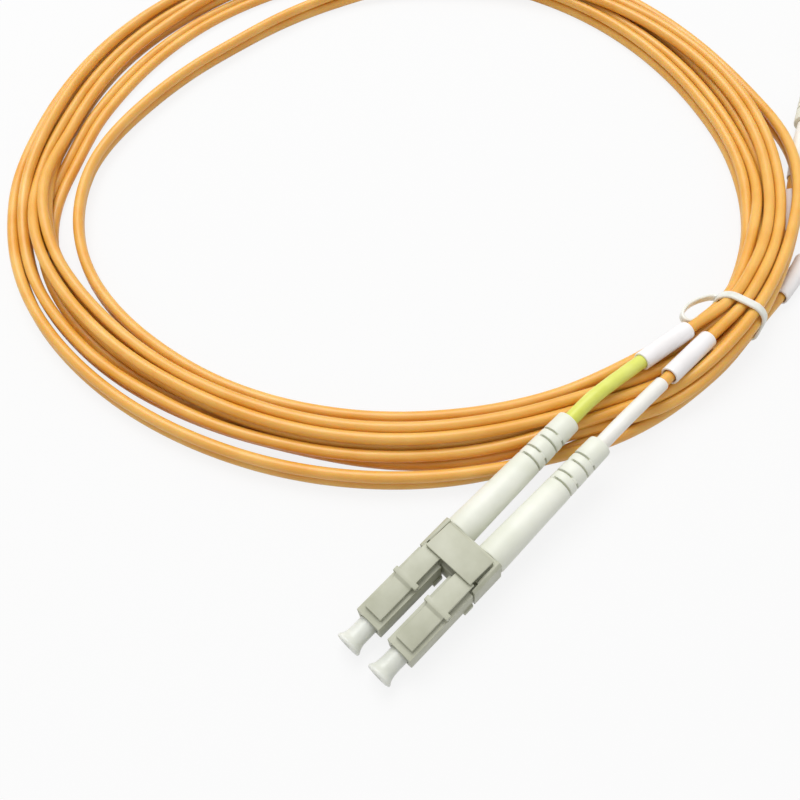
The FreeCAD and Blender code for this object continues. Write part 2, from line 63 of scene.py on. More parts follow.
# %% [markdown]
# ## Camera
# The picture was taken from above one shoulder of the coil, looking steeply down. A camera can be
# aimed by a tracking constraint, but two plain turns are easier to read: how far it looks down,
# and which way it faces. The lens was fitted to the known size of the plugs.

# %% Camera
LOOK_DOWN = 57.8
FACING = 44.84
LENS, SENSOR = 40.5, 36
NEAREST = 0.005
CAMERA_PLACE = (-0.09773, -0.09788, 0.1302)

camera_data = bpy.data.cameras.new("camera")
camera_data.lens = LENS
camera_data.sensor_width = SENSOR
camera_data.clip_start = NEAREST
camera = bpy.data.objects.new("camera", camera_data)
camera.location = CAMERA_PLACE
camera.rotation_euler = (math.radians(90 - LOOK_DOWN), 0, math.radians(FACING - 90))
scene.collection.objects.link(camera)
scene.camera = camera
scene.view_settings.view_transform = "Standard"
print("camera height", camera.location.z)

# %% [markdown]
# ## The twin cord's route
# A patch cable is two round cords side by side, joined like a figure eight. Each cord is one
# smooth NURBS curve from plug to plug. Its turns are written as stations: the angle round the
# coil, the radius and height of the pair's middle, and how far the pair leans from upright. A pair
# on edge leans 0 degrees, and one that lies flat leans 90. Stations can be read off the picture one
# strand at a time, and a few per turn are enough, because a smooth ease fills in between them.

# %% Stations of the six turns, in degrees and millimetres
TURNS = [
    [
        (-80, 71.78, 7.28, 90), (-72, 72.5, 6.7, 88), (-64, 73.0, 6.0, 82), (-50, 73.4, 5.2, 80),
        (-38, 73.0, 5.2, 80), (-25, 71.7, 5.2, 82), (-10, 69.5, 5.2, 85), (5, 66.8, 5.2, 88),
        (20, 63.8, 5.2, 88), (32, 61.2, 4.9, 80), (42, 58.8, 3.8, 60), (52, 56.6, 2.6, 30),
        (62, 54.6, 2.0, 10), (75, 52.4, 1.98, 0), (90, 51.4, 2.0, -10), (105, 53.0, 2.0, -12),
        (117, 55.5, 2.0, -12), (125, 57.9, 1.98, -16), (135, 61.1, 1.97, -20),
        (145, 63.0, 1.98, -16), (155, 64.0, 2.0, -8), (165, 64.1, 2.0, 0), (175, 63.5, 2.0, 0),
        (185, 62.8, 2.0, 0), (195, 62.4, 2.0, 0), (205, 62.0, 2.0, 0), (215, 61.7, 2.0, 0),
        (230, 61.7, 2.0, 0), (240, 62.2, 2.0, 0), (248, 63.0, 2.1, -5), (255, 64.2, 2.5, -15),
        (262, 66.0, 3.2, -40), (268, 67.6, 4.0, -62), (274, 69.2, 4.8, -80),
    ],
    [
        (-80, 70.77, 5.52, -88), (-72, 71.2, 4.8, -70), (-64, 71.3, 4.1, -55),
        (-56, 71.1, 3.0, -30), (-48, 70.6, 2.0, -12), (-40, 69.5, 1.97, -12),
        (-15, 67.5, 1.97, -12), (10, 67.0, 1.8, -30), (30, 66.9, 1.2, -75), (45, 66.4, 1.0, -88),
        (60, 65.4, 1.0, -88), (80, 64.2, 1.0, -88), (100, 63.6, 1.0, -88), (112, 63.8, 1.0, -88),
        (120, 64.4, 1.0, -88), (130, 66.1, 1.0, -88), (140, 68.5, 1.0, -88),
        (150, 70.2, 1.0, -88), (160, 70.3, 1.0, -88), (170, 69.6, 1.0, -88),
        (180, 68.4, 1.0, -88), (190, 67.0, 1.0, -88), (200, 65.9, 1.0, -88),
        (210, 65.3, 1.0, -88), (220, 65.1, 1.0, -88), (230, 65.1, 1.0, -88),
        (240, 65.4, 1.0, -88), (250, 66.2, 1.0, -88), (258, 67.2, 1.05, -92),
        (264, 68.2, 1.4, -110), (270, 69.1, 2.0, -130), (275, 69.7, 2.5, -142),
    ],
    [
        (-80, 70.26, 2.88, -150), (-72, 70.1, 2.2, -165), (-62, 69.9, 1.97, -175),
        (-50, 68.8, 1.99, -180), (-40, 67.4, 1.99, -180), (-30, 66.0, 1.98, -180),
        (-15, 65.0, 1.98, -176), (10, 64.5, 1.98, -175), (30, 64.2, 2.2, -175),
        (42, 64.3, 3.3, -175), (55, 64.9, 3.95, -175), (68, 65.8, 3.95, -175),
        (80, 66.8, 3.4, -175), (92, 67.7, 2.2, -180), (105, 68.1, 1.98, -180),
        (120, 68.3, 1.98, -180), (130, 68.6, 1.98, -180), (138, 69.0, 2.6, -180),
        (146, 69.3, 3.7, -180), (154, 69.0, 3.9, -180), (160, 68.4, 3.85, -180),
        (167, 67.3, 3.6, -180), (174, 66.3, 3.3, -180), (181, 65.6, 3.2, -180),
        (190, 65.2, 3.4, -180), (200, 64.9, 3.75, -180), (210, 64.8, 3.85, -180),
        (230, 64.8, 3.85, -180), (240, 65.1, 3.85, -180), (248, 65.8, 3.9, -180),
        (255, 67.0, 4.0, -176), (262, 68.6, 4.0, -168), (268, 70.1, 3.6, -160),
        (274, 71.3, 3.2, -154),
    ],
    [
        (-80, 72.29, 2.88, -150), (-72, 72.4, 2.2, -165), (-62, 72.6, 1.97, -175),
        (-50, 72.7, 1.98, -175), (-40, 71.6, 1.98, -175), (-15, 70.1, 1.98, -172),
        (10, 69.3, 1.98, -172), (40, 69.2, 1.98, -172), (70, 69.5, 1.98, -175),
        (95, 70.0, 1.98, -180), (120, 70.3, 1.98, -180), (130, 70.5, 1.98, -180),
        (140, 71.3, 2.1, -180), (147, 71.6, 2.8, -180), (155, 71.2, 3.8, -180),
        (163, 70.3, 3.9, -180), (170, 69.4, 3.9, -180), (177, 68.6, 3.85, -180),
        (184, 67.9, 3.85, -180), (191, 67.3, 3.85, -180), (200, 67.0, 3.85, -180),
        (210, 66.9, 3.85, -180), (230, 66.9, 3.85, -180), (240, 67.1, 3.85, -180),
        (248, 67.9, 3.9, -182), (255, 69.0, 4.0, -185), (262, 70.5, 4.2, -192),
        (268, 72.0, 4.4, -200), (274, 73.3, 4.55, -206),
    ],
    [
        (-80, 74.32, 4.64, -210), (-72, 74.3, 3.6, -195), (-62, 74.6, 2.2, -175),
        (-50, 74.7, 1.98, -175), (-40, 73.7, 1.98, -175), (-15, 72.2, 1.98, -172),
        (10, 71.5, 1.97, -172), (40, 71.4, 2.0, -175), (55, 71.4, 2.3, -178),
        (70, 71.4, 3.0, -180), (85, 71.3, 3.7, -180), (100, 71.2, 3.85, -180),
        (120, 71.2, 3.85, -180), (130, 71.4, 3.85, -180), (138, 72.0, 3.7, -180),
        (145, 72.9, 3.1, -180), (152, 73.5, 2.3, -180), (160, 73.8, 1.98, -180),
        (170, 72.7, 1.99, -177), (180, 71.5, 1.97, -168), (190, 69.95, 1.95, -160),
        (200, 69.2, 1.94, -155), (210, 68.6, 1.95, -160), (220, 68.9, 1.99, -180),
        (230, 69.15, 1.9, -206), (240, 69.4, 2.2, -206), (246, 69.8, 2.8, -202),
        (252, 70.6, 3.5, -200), (258, 71.6, 4.2, -200), (264, 72.7, 4.9, -202),
        (270, 73.9, 5.6, -205), (275, 74.7, 6.1, -208),
    ],
    [
        (-80, 75.34, 6.4, -210), (-70, 75.9, 6.2, -198), (-62, 76.7, 5.8, -195),
        (-54, 77.9, 5.5, -200), (-46, 78.5, 4.7, -200), (-38, 78.0, 3.2, -190),
        (-30, 76.7, 2.1, -175), (-15, 75.0, 1.97, -172), (10, 73.9, 1.97, -170),
        (45, 74.3, 1.97, -172), (70, 73.5, 1.97, -175), (90, 72.9, 1.98, -180),
        (105, 72.5, 1.98, -180), (120, 72.4, 1.98, -180), (130, 72.7, 1.98, -180),
        (137, 73.4, 1.98, -180), (144, 74.5, 1.98, -180), (150, 75.3, 1.98, -180),
        (156, 75.8, 1.98, -180), (163, 75.8, 1.98, -180), (170, 75.4, 1.98, -180),
        (180, 74.6, 1.98, -180), (190, 73.9, 1.98, -180), (200, 73.3, 1.98, -180),
        (210, 73.0, 1.98, -180), (220, 72.8, 1.99, -180), (230, 72.75, 1.99, -180),
        (238, 72.75, 1.97, -172), (245, 72.8, 1.8, -150), (251, 72.9, 1.4, -118),
        (257, 73.1, 1.05, -95), (264, 73.5, 1.0, -92), (272, 74.1, 1.3, -90),
        (280, 74.83, 2.0, -90),
    ],
]
stations = [(s[0] + 360 * k, *s[1:]) for k, turn in enumerate(TURNS) for s in turn]
print("turns", len(TURNS), "stations", len(stations))

# %% Ease between stations and split the pair into its two cords
CORD_RADIUS = 1.0
PAIR_HALF = 1.02
TIED_ANGLE = -80
STEP = 6
CUTS = 360 // STEP


def eased(angle):
    """Radius, height and lean at any angle, with an even slope through every station."""
    i = 0
    while i < len(stations) - 2 and stations[i + 1][0] <= angle:
        i += 1
    here, after = stations[i], stations[i + 1]
    before = stations[max(i - 1, 0)]
    beyond = stations[min(i + 2, len(stations) - 1)]
    span = after[0] - here[0]
    t = (angle - here[0]) / span
    values = []
    for n in (1, 2, 3):
        slope_here = (after[n] - before[n]) / (after[0] - before[0]) * span
        slope_after = (beyond[n] - here[n]) / (beyond[0] - here[0]) * span
        values.append(
            (2 * t**3 - 3 * t**2 + 1) * here[n]
            + (t**3 - 2 * t**2 + t) * slope_here
            + (3 * t**2 - 2 * t**3) * after[n]
            + (t**3 - t**2) * slope_after
        )
    return values


angles = range(TIED_ANGLE, TIED_ANGLE + 360 * len(TURNS) + 1, STEP)
cuts = []
for angle in angles:
    radius, height, lean = eased(angle)
    out, up = math.sin(math.radians(lean)), math.cos(math.radians(lean))
    halves = (-PAIR_HALF, PAIR_HALF)
    cuts.append([(radius + half * out, height + half * up) for half in halves])
cuts = np.array(cuts)
print("points on each cord's coil", len(cuts))

# %% [markdown]
# ## Letting the turns settle
# The listed stations leave some cords a little inside each other. A physics simulation could
# sort that out, but it is slow and hard to repeat. A cut through the coil at one angle shows each
# cord as a circle, so here every cut pushes its own circles apart and keeps them on the table. A
# light blur along the cords keeps the pushes smooth.

# %% Push the cords apart in every cut
# What lies across some cuts and stays put: its radius from the middle, its height and its size.
ACROSS = {
    -110: [(69.6, 7.0, 1.3), (75.9, 7.0, 1.3)],
    -104: [(67.8, 6.9, 1.3), (73.8, 6.9, 1.3)],
    -98: [(67.0, 6.9, 1.7), (72.0, 6.9, 1.7)],
    -92: [(67.3, 6.7, 1.7), (71.3, 6.7, 1.7)],
    -86: [(68.6, 6.8, 1.2), (71.8, 6.8, 1.7)],
    -74: [(75.4, 1.9, 1.0), (77.6, 1.9, 1.0)],
    -68: [(76.6, 1.75, 1.0), (79.4, 1.75, 1.0)],
    -62: [(77.3, 1.75, 1.7), (81.6, 1.75, 1.0)],
    -56: [(77.5, 1.75, 1.7), (83.4, 1.75, 1.7)],
}
CLEARANCE = 0.1
# The share of each overlap that one push takes up.
PUSH_SHARE = 0.4
# Keeps the distance of a circle from itself above zero.
TINY = 1e-9


def pushed(circles, across):
    """One round of pushes in one cut. Circles 0 and 1, 2 and 3 and so on are joined pairs."""
    apart = circles[:, None] - circles[None]
    distance = np.hypot(apart[..., 0], apart[..., 1]) + TINY
    overlap = np.clip(2 * CORD_RADIUS + CLEARANCE - distance, 0, None)
    np.fill_diagonal(overlap, 0)
    for i in range(0, len(circles), 2):
        overlap[i, i + 1] = overlap[i + 1, i] = 2 * PAIR_HALF - distance[i, i + 1]
    move = PUSH_SHARE * (apart / distance[..., None] * overlap[..., None]).sum(1)
    for radius, height, size in across:
        away = circles - (radius, height)
        reach = np.hypot(away[:, 0], away[:, 1])
        overlap = np.clip(size + CORD_RADIUS - reach, 0, None)
        move += away / reach[:, None] * overlap[:, None]
    circles = circles + move
    circles[:, 1] = np.maximum(circles[:, 1], CORD_RADIUS)
    return circles


print("cuts with something across them", len(ACROSS))

# %% Settle every cut and blur the pushes along the cords
PUSHES = 60
BLURS = 6


def push_all(cuts):
    """Push in every cut but the tied one, which is left as listed."""
    cuts = cuts.copy()
    for cut in range(1, CUTS):
        angle = TIED_ANGLE + cut * STEP
        across = ACROSS.get(angle if angle < 180 else angle - 360, ())
        circles = cuts[cut::CUTS].reshape(-1, 2)
        for _ in range(PUSHES):
            circles = pushed(circles, across)
        cuts[cut::CUTS] = circles.reshape(-1, 2, 2)
    return cuts


drawn = cuts
for _ in range(BLURS):
    shift = push_all(cuts) - cuts
    shift[1:-1] = 0.25 * shift[:-2] + 0.5 * shift[1:-1] + 0.25 * shift[2:]
    cuts = cuts + shift
cuts = push_all(cuts)
print("largest push %.2f mm" % np.abs(cuts - drawn).max())

# %% [markdown]
# ## Plug frames
# Each plug has its own axes: along the ferrule, across the pair, and up to the latch. They could be
# typed in again, but the frame's joints already hold them. The ferrule slides along the first
# axis and the latch bends about the second, so the two give the third.

# %% Axes and nose of each plug
joints = {joint["name"]: joint for joint in frame["joints"]}
PLUGS = "abcd"
TWINS = {"near": "ab", "far": "cd"}
# The latch bends this far behind the nose and above the axis, in millimetres.
LATCH_ROOT = (2.0, 2.25)


class PlugFrame:
    """A plug's own axes, with places in it given in millimetres from the middle of its nose."""

    def __init__(self, key):
        latch = joints[f"latch_{key}_bend"]
        self.along = Vector(joints[f"ferrule_{key}_float"]["axis"]).normalized()
        self.side = Vector(latch["axis"]).normalized()
        self.up = self.along.cross(self.side)
        root = LATCH_ROOT[0] * self.along + LATCH_ROOT[1] * self.up
        self.nose = Vector(latch["pos_m"]) - MM * root

    def at(self, along, side=0.0, up=0.0):
        return self.nose + MM * (along * self.along + side * self.side + up * self.up)


plugs = {key: PlugFrame(key) for key in PLUGS}
for key, plug in plugs.items():
    print("plug", key, "nose", [round(v, 4) for v in plug.nose])

# %% [markdown]
# ## The cords
# Each cord leaves one plug straight through its boot, joins its twin at the tie, winds six times
# and splits off again to its far plug. A NURBS of order 3 cuts a little inside its points, so the
# coil's points stand out by that share. The curve's round bevel gives the jacket.

# %% Points along each cord's way
JACKET_START = 23.6
BOOT_END = 44.8
# Distances behind the nose at which a leg still runs straight.
STRAIGHT = (JACKET_START, 36, 46, 52)
STAND_OUT = 4 / (3 + math.cos(math.radians(STEP)))
# The way of each leg between its boot and the tie, as in the CAD source.
LEG_BENDS = {
    "a": [(2.2, -67.8, 6.6)],
    "b": [(4.0, -71.4, 6.6)],
    "c": [(47.0, -69.2, 1.75), (31.0, -73.8, 1.75)],
    "d": [(44.5, -63.3, 1.75), (29.5, -71.2, 1.75)],
}


def leg_points(key):
    straight = [plugs[key].at(x) for x in STRAIGHT]
    return straight + [MM * Vector(bend) for bend in LEG_BENDS[key]]


def coil_points(which):
    points = []
    for angle, pair in zip(angles, cuts):
        radius, height = pair[which]
        heading = math.radians(angle)
        flat = radius * STAND_OUT
        points.append(MM * Vector((flat * math.cos(heading), flat * math.sin(heading), height)))
    return points


print("points on each leg", {key: len(leg_points(key)) for key in PLUGS})

# %% A helper for smooth curves
CURVE_STEPS = 5


def nurbs(name, points, bevel=0.0):
    curve = bpy.data.curves.new(name, "CURVE")
    curve.dimensions = "3D"
    curve.resolution_u = CURVE_STEPS
    curve.bevel_depth = bevel
    curve.bevel_resolution = CURVE_STEPS
    curve.use_fill_caps = bevel > 0
    spline = curve.splines.new("NURBS")
    spline.points.add(len(points) - 1)
    for point, place in zip(spline.points, points):
        point.co = (*place, 1)
    spline.order_u = 3
    spline.use_endpoint_u = True
    made = bpy.data.objects.new(name, curve)
    scene.collection.objects.link(made)
    return made


def evaluated_mesh(made):
    """The plain mesh of an object with its modifiers and curves worked out."""
    bpy.context.view_layer.update()
    evaluated = made.evaluated_get(bpy.context.evaluated_depsgraph_get())
    return bpy.data.meshes.new_from_object(evaluated)


def line_points(points):
    """Places along the smooth curve, read from a copy with no bevel."""
    bare = nurbs("bare_line", points)
    mesh = evaluated_mesh(bare)
    places = [v.co.copy() for v in mesh.vertices]
    bpy.data.meshes.remove(mesh)
    curve = bare.data
    bpy.data.objects.remove(bare)
    bpy.data.curves.remove(curve)
    return places


print("steps between curve points", CURVE_STEPS)

# %% One NURBS curve for each cord
CORDS = {"ac": 0, "bd": 1}
cords = {}
cord_lines = {}
for ends, which in CORDS.items():
    route = leg_points(ends[0]) + coil_points(which) + leg_points(ends[1])[::-1]
    cords[ends] = nurbs(f"cord_{ends}", route, CORD_RADIUS * MM)
    line = line_points(route)
    cord_lines[ends[0]] = line
    cord_lines[ends[1]] = line[::-1]

# %% [markdown]
# ## Moulded and drawn finishes
# Plastic is never one flat colour. The melt leaves faint clouds, the tool leaves a fine grain, and
# handling changes the gloss from place to place. One helper builds that from three noise textures
# on Object coordinates, so the pattern stays on the piece. Values that are the same everywhere go
# straight on the shader's own sockets.

# %% A helper for clouded, grained finishes
def linear(red, green, blue):
    """A colour given as 0 to 255 values on screen, as Blender's linear colour."""
    def channel(value):
        value /= 255
        return value / 12.92 if value <= 0.04045 else ((value + 0.055) / 1.055) ** 2.4

    return (channel(red), channel(green), channel(blue), 1.0)


CLOUD_RANGE = (0.3, 0.7)
GRAIN_STRENGTH = 0.5
# Gloss changes over patches of this share of a cloud's size.
SHEEN_SHARE = 0.6


def finish(name, deep, pale, cloud, grain, depth, gloss, **sockets):
    """A finish from two tones, the size of its clouds and grain in mm, and a roughness range."""
    material = bpy.data.materials.new(name)
    material.use_nodes = True
    nodes, links = material.node_tree.nodes, material.node_tree.links
    shader = nodes["Principled BSDF"]
    place = nodes.new("ShaderNodeTexCoord").outputs["Object"]

    def noise(size, detail):
        texture = nodes.new("ShaderNodeTexNoise")
        texture.inputs["Scale"].default_value = 1 / (size * MM)
        texture.inputs["Detail"].default_value = detail
        links.new(place, texture.inputs["Vector"])
        return texture.outputs["Fac"]

    tones = nodes.new("ShaderNodeValToRGB")
    for stop, position, tone in zip(tones.color_ramp.elements, CLOUD_RANGE, (deep, pale)):
        stop.position = position
        stop.color = linear(*tone)
    links.new(noise(cloud, 3), tones.inputs["Fac"])
    links.new(tones.outputs["Color"], shader.inputs["Base Color"])

    sheen = nodes.new("ShaderNodeMapRange")
    sheen.inputs["To Min"].default_value, sheen.inputs["To Max"].default_value = gloss
    links.new(noise(cloud * SHEEN_SHARE, 2), sheen.inputs["Value"])
    links.new(sheen.outputs["Result"], shader.inputs["Roughness"])

    bump = nodes.new("ShaderNodeBump")
    bump.inputs["Distance"].default_value = depth * MM
    bump.inputs["Strength"].default_value = GRAIN_STRENGTH
    links.new(noise(grain, 4), bump.inputs["Height"])
    links.new(bump.outputs["Normal"], shader.inputs["Normal"])
    for socket, value in sockets.items():
        shader.inputs[socket.replace("_", " ")].default_value = value
    return material


def soft(weight, reach, tint):
    """Sockets of a plastic that light enters: how much, how far in mm and how far by colour."""
    return {"Subsurface_Weight": weight, "Subsurface_Scale": reach * MM, "Subsurface_Radius": tint}


print("linear mid grey %.3f" % linear(128, 128, 128)[0])

# %% [markdown]
# ## Orange jacket
# The jacket is extruded over the fibre in one long draw, so it is satin and very smooth, with only
# faint clouds. A little subsurface light keeps the shaded side warm, as in real soft plastic.

# %% Jacket finish
jacket = finish(
    "orange_jacket", (229, 166, 60), (238, 187, 95), cloud=9, grain=0.35, depth=0.012,
    gloss=(0.34, 0.46), **soft(0.5, 1.5, (1.0, 0.45, 0.08)), Specular_IOR_Level=0.7,
)
for cord in cords.values():
    cord.data.materials.append(jacket)
    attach(cord, "cable")
print("jacket on", [cord.name for cord in cords.values()])

# %% [markdown]
# ## Turned shapes
# Boots, caps, ferrules and sleeves are round pieces, and each is a loop of radii swept about a
# line. Blender's Screw modifier could turn a profile, but it only turns about a straight axis and
# can't cut a slot part of the way round. These helpers place ring after ring on any line, and let
# the radius depend on the angle too.

# %% Helpers for a mesh of rings and for a finished piece
def ring_mesh(name, rings):
    """A mesh of equal rings, each joined to the next and the last to the first."""
    count = len(rings[0])
    vertices = [point for ring in rings for point in ring]
    faces = []
    for i in range(len(rings)):
        here, after = i * count, (i + 1) % len(rings) * count
        for j in range(count):
            k = (j + 1) % count
            faces.append((here + j, here + k, after + k, after + j))
    mesh = bpy.data.meshes.new(name)
    mesh.from_pydata(vertices, [], faces)
    work = bmesh.new()
    work.from_mesh(mesh)
    bmesh.ops.recalc_face_normals(work, faces=work.faces)
    work.to_mesh(mesh)
    work.free()
    return mesh


def piece(name, mesh, material, body, slot, *nodes, sharp=35):
    """A shaded object that rides on a body and stands for the named CAD nodes."""
    mesh.materials.clear()
    mesh.materials.append(material)
    mesh.shade_smooth()
    mesh.set_sharp_from_angle(angle=math.radians(sharp))
    made = bpy.data.objects.new(name, mesh)
    scene.collection.objects.link(made)
    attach(made, body)
    if nodes:
        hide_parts(*nodes)
    return made


# %% Helpers for round pieces on a line
# How many sides each round piece has, more on those that are seen most.
SIDES = {"boot": 60, "cap": 56, "label": 44, "marker": 40, "ferrule": 40, "fibre": 20}


def turned(place, profile, sides):
    """Rings from (distance, radius) pairs. The radius may be a function of the angle."""
    rings = []
    for distance, radius in profile:
        middle, across, upward = place(distance)
        ring = []
        for j in range(sides):
            angle = 2 * math.pi * j / sides
            size = radius(angle) if callable(radius) else radius
            outward = math.cos(angle) * across + math.sin(angle) * upward
            ring.append(middle + size * MM * outward)
        rings.append(ring)
    return rings


def on_plug(key):
    plug = plugs[key]
    return lambda distance: (plug.at(distance), plug.side, plug.up)


def turned_piece(name, place, profile, sides, *finish_and_nodes):
    """A turned mesh with its finish, body and the CAD nodes that it stands for. The slot is not
    used.
    """
    return piece(name, ring_mesh(name, turned(place, profile, sides)), *finish_and_nodes)


print("sides", SIDES)

# %% [markdown]
# ## Boots
# The boot is a soft tapered tube that keeps the cord from bending sharply where it enters the plug.
# Pairs of slots, each pair a quarter turn from the last, let it flex. A boot turns freely on its
# plug, so the slots need not line up with the latch. Each slot is cut by letting the radius drop to
# the slot's floor over part of the circle.

# %% The boot's outline
BOOT = {"start": 19.0, "end": BOOT_END, "front": 2.55, "rear": 2.0, "mouth": 1.84}
BOOT_TURN = math.radians(41)
# The bore, from the opening at the rear to the mouth over the crimp body.
BOOT_BORE = [
    (BOOT_END, 1.1), (BOOT_END - 0.3, 1.04), (33.5, 1.2), (30.0, 1.5), (26.6, BOOT["mouth"]),
]
# Its rolled edges: how far from the end face, how far below the full radius, and where they end.
FRONT_ROLL, FRONT_ROLLED = [(0.0, 0.25), (0.08, 0.08)], 0.28
REAR_ROLL, REAR_ROLLED = [(0.08, 0.08), (0.0, 0.28)], 0.3
SLOT = {"width": 0.4, "floor": 1.35, "wall": 0.01, "lip": 0.06, "roll": 0.03}
SLOTS_ABOVE = (35.1, 39.2)
SLOTS_ASIDE = (36.75, 40.85)
# A pair of slots leaves two bridges, where the sine or cosine of the angle is below this.
BRIDGE_ABOVE, BRIDGE_ASIDE = 0.2, 0.32


def boot_radius(distance):
    share = (distance - BOOT["start"]) / (BOOT["end"] - BOOT["start"])
    return BOOT["front"] + (BOOT["rear"] - BOOT["front"]) * share


def slotted(distance, aside):
    """The radius round one slot: its floor on two opposite sides, and the full size between."""
    full = boot_radius(distance)

    def radius(angle):
        side = angle - BOOT_TURN
        if aside:
            open_here = abs(math.cos(side)) > BRIDGE_ASIDE
        else:
            open_here = abs(math.sin(side)) > BRIDGE_ABOVE
        return SLOT["floor"] if open_here else full

    return radius


def boot_profile():
    """From the front face over the slots, round the rear and back in the bore."""
    start, end = BOOT["start"], BOOT["end"]
    profile = [(start, BOOT["mouth"])]
    profile += [(start + x, boot_radius(start) - drop) for x, drop in FRONT_ROLL]
    profile.append((start + FRONT_ROLLED, boot_radius(start + FRONT_ROLLED)))
    slots = sorted([(x, False) for x in SLOTS_ABOVE] + [(x, True) for x in SLOTS_ASIDE])
    for middle, aside in slots:
        low, high = middle - SLOT["width"] / 2, middle + SLOT["width"] / 2
        profile += [
            (low - SLOT["lip"], boot_radius(low)),
            (low, boot_radius(low) - SLOT["roll"]),
            (low + SLOT["wall"], slotted(low, aside)),
            (high - SLOT["wall"], slotted(high, aside)),
            (high, boot_radius(high) - SLOT["roll"]),
            (high + SLOT["lip"], boot_radius(high)),
        ]
    profile.append((end - REAR_ROLLED, boot_radius(end - REAR_ROLLED)))
    profile += [(end - x, boot_radius(end) - drop) for x, drop in REAR_ROLL]
    return profile + BOOT_BORE


print("boot rings", len(boot_profile()))

# %% Four boots
boot_plastic = finish(
    "soft_boot_plastic", (227, 229, 214), (237, 238, 226), cloud=5, grain=0.3, depth=0.02,
    gloss=(0.4, 0.55), **soft(0.15, 1, (1.0, 0.95, 0.8)),
)
for key in PLUGS:
    turned_piece(
        f"boot_{key}_soft", on_plug(key), boot_profile(), SIDES["boot"],
        boot_plastic, "cable", "boot_plastic", f"boot_{key}",
    )
print("boots", len(PLUGS))

# %% [markdown]
# ## Dust caps
# A dust cap is a thin soft tube pushed over the ferrule, with a flared rim to pull it by. Its end
# is open into a small bore. It is a turned piece as well, and the pale plastic lets some light
# through.

# %% Four dust caps
CAP_PROFILE = [
    (-4.38, 0.78), (-4.38, 1.8), (-4.33, 2.0), (-4.2, 2.1), (-4.05, 2.12), (-3.9, 2.08),
    (-3.72, 1.95), (-3.5, 1.82), (-3.2, 1.7), (-2.8, 1.61), (-2.4, 1.57), (-1.8, 1.55),
    (3.7, 1.55), (4.05, 1.46), (4.2, 1.25), (4.2, 0.72), (4.1, 0.675), (-2.1, 0.675),
    (-2.1, 0.3), (-2.3, 0.3), (-2.3, 0.55), (-4.25, 0.68),
]
cap_plastic = finish(
    "pale_cap_plastic", (214, 216, 206), (226, 228, 219), cloud=3, grain=0.25, depth=0.015,
    gloss=(0.3, 0.42), **soft(0.6, 2, (1.0, 0.97, 0.9)),
)
for key in PLUGS:
    turned_piece(
        f"dust_cap_{key}_soft", on_plug(key), CAP_PROFILE, SIDES["cap"],
        cap_plastic, f"cap_{key}", "cap_plastic", f"dust_cap_{key}",
    )
print("cap profile points", len(CAP_PROFILE))

# %% [markdown]
# ## Ferrules and bare fibre
# The ferrule is a polished ceramic pin with a chamfered tip. Behind it the jacket is stripped, and
# only the thin buffered fibre runs on. Both are hidden until a cap is pulled, and both are turned.

# %% Ferrules and stripped fibres
FERRULE_PROFILE = [
    (-1.8, 0.07), (-1.8, 0.3), (-1.76, 0.42), (-1.5, 0.6), (-1.42, 0.625), (9.3, 0.625),
    (9.5, 0.56), (9.5, 0.07),
]
FIBRE_PROFILE = [
    (10.45, 0.05), (10.45, 0.4), (10.55, 0.45), (JACKET_START, 0.45), (JACKET_START, 0.05),
]
zirconia = finish(
    "polished_ceramic", (240, 238, 230), (248, 246, 240), cloud=2, grain=0.1, depth=0.002,
    gloss=(0.08, 0.16), Coat_Weight=0.4, Coat_Roughness=0.05,
)
buffer_coat = finish(
    "buffered_fibre", (238, 222, 180), (246, 234, 200), cloud=2, grain=0.15, depth=0.004,
    gloss=(0.3, 0.4),
)
for key in PLUGS:
    turned_piece(
        f"ferrule_{key}_turned", on_plug(key), FERRULE_PROFILE, SIDES["ferrule"],
        zirconia, f"ferrule_{key}", "zirconia", f"ferrule_{key}",
    )
    turned_piece(
        f"fibre_{key}", on_plug(key), FIBRE_PROFILE, SIDES["fibre"],
        buffer_coat, "cable", "cord_jacket",
    )
print("ferrules", len(PLUGS))

# %% [markdown]
# ## Sleeves on the legs
# Each leg carries a thin marker sleeve, lime or white, to tell the two cords apart, and a wider
# white label sleeve. A sleeve is threaded on before the plug is fitted, so it follows its cord's
# bend. It is turned about the curve's own line, with a thin wall and rolled ends.

# %% Read a place and its axes on a cord's line
def on_cord(key):
    """The place at any distance behind the boot, with two axes across the cord."""
    line = cord_lines[key]
    steps = [0.0]
    for a, b in zip(line, line[1:]):
        steps.append(steps[-1] + (b - a).length / MM)
    hidden = BOOT_END - JACKET_START

    def place(distance):
        wanted = distance + hidden
        i = 1
        while steps[i] < wanted:
            i += 1
        share = (wanted - steps[i - 1]) / (steps[i] - steps[i - 1])
        middle = line[i - 1].lerp(line[i], share)
        ahead = (line[i] - line[i - 1]).normalized()
        across = UP.cross(ahead).normalized()
        return middle, across, ahead.cross(across)

    return place


print("leg a at 20 mm", [round(v, 4) for v in on_cord("a")(20)[0]])

# %% A sleeve's outline
# A rolled end: how far inside the sleeve, and how far from the full radius of its wall.
ROLL = [(0.0, 0.14), (0.06, 0.04), (0.18, 0.0)]
BORE_ROLL = [(0.0, 0.05), (0.1, 0.0)]
SLEEVE_STEPS = 16


def evenly(first, last, radius):
    """Points between two distances, enough for a sleeve to follow a bend."""
    steps = range(1, SLEEVE_STEPS)
    return [(first + (last - first) * i / SLEEVE_STEPS, radius) for i in steps]


def sleeve_profile(start, end, radius, bore):
    """A thin wall with rolled ends, from its front over the outside and back in the bore."""
    outer = [(start + x, radius - drop) for x, drop in ROLL]
    outer += evenly(start + ROLL[-1][0], end - ROLL[-1][0], radius)
    outer += [(end - x, radius - drop) for x, drop in ROLL[::-1]]
    inner = [(end - x, bore + rise) for x, rise in BORE_ROLL]
    inner += evenly(end - BORE_ROLL[-1][0], start + BORE_ROLL[-1][0], bore)
    return outer + inner + [(start + x, bore + rise) for x, rise in BORE_ROLL[::-1]]


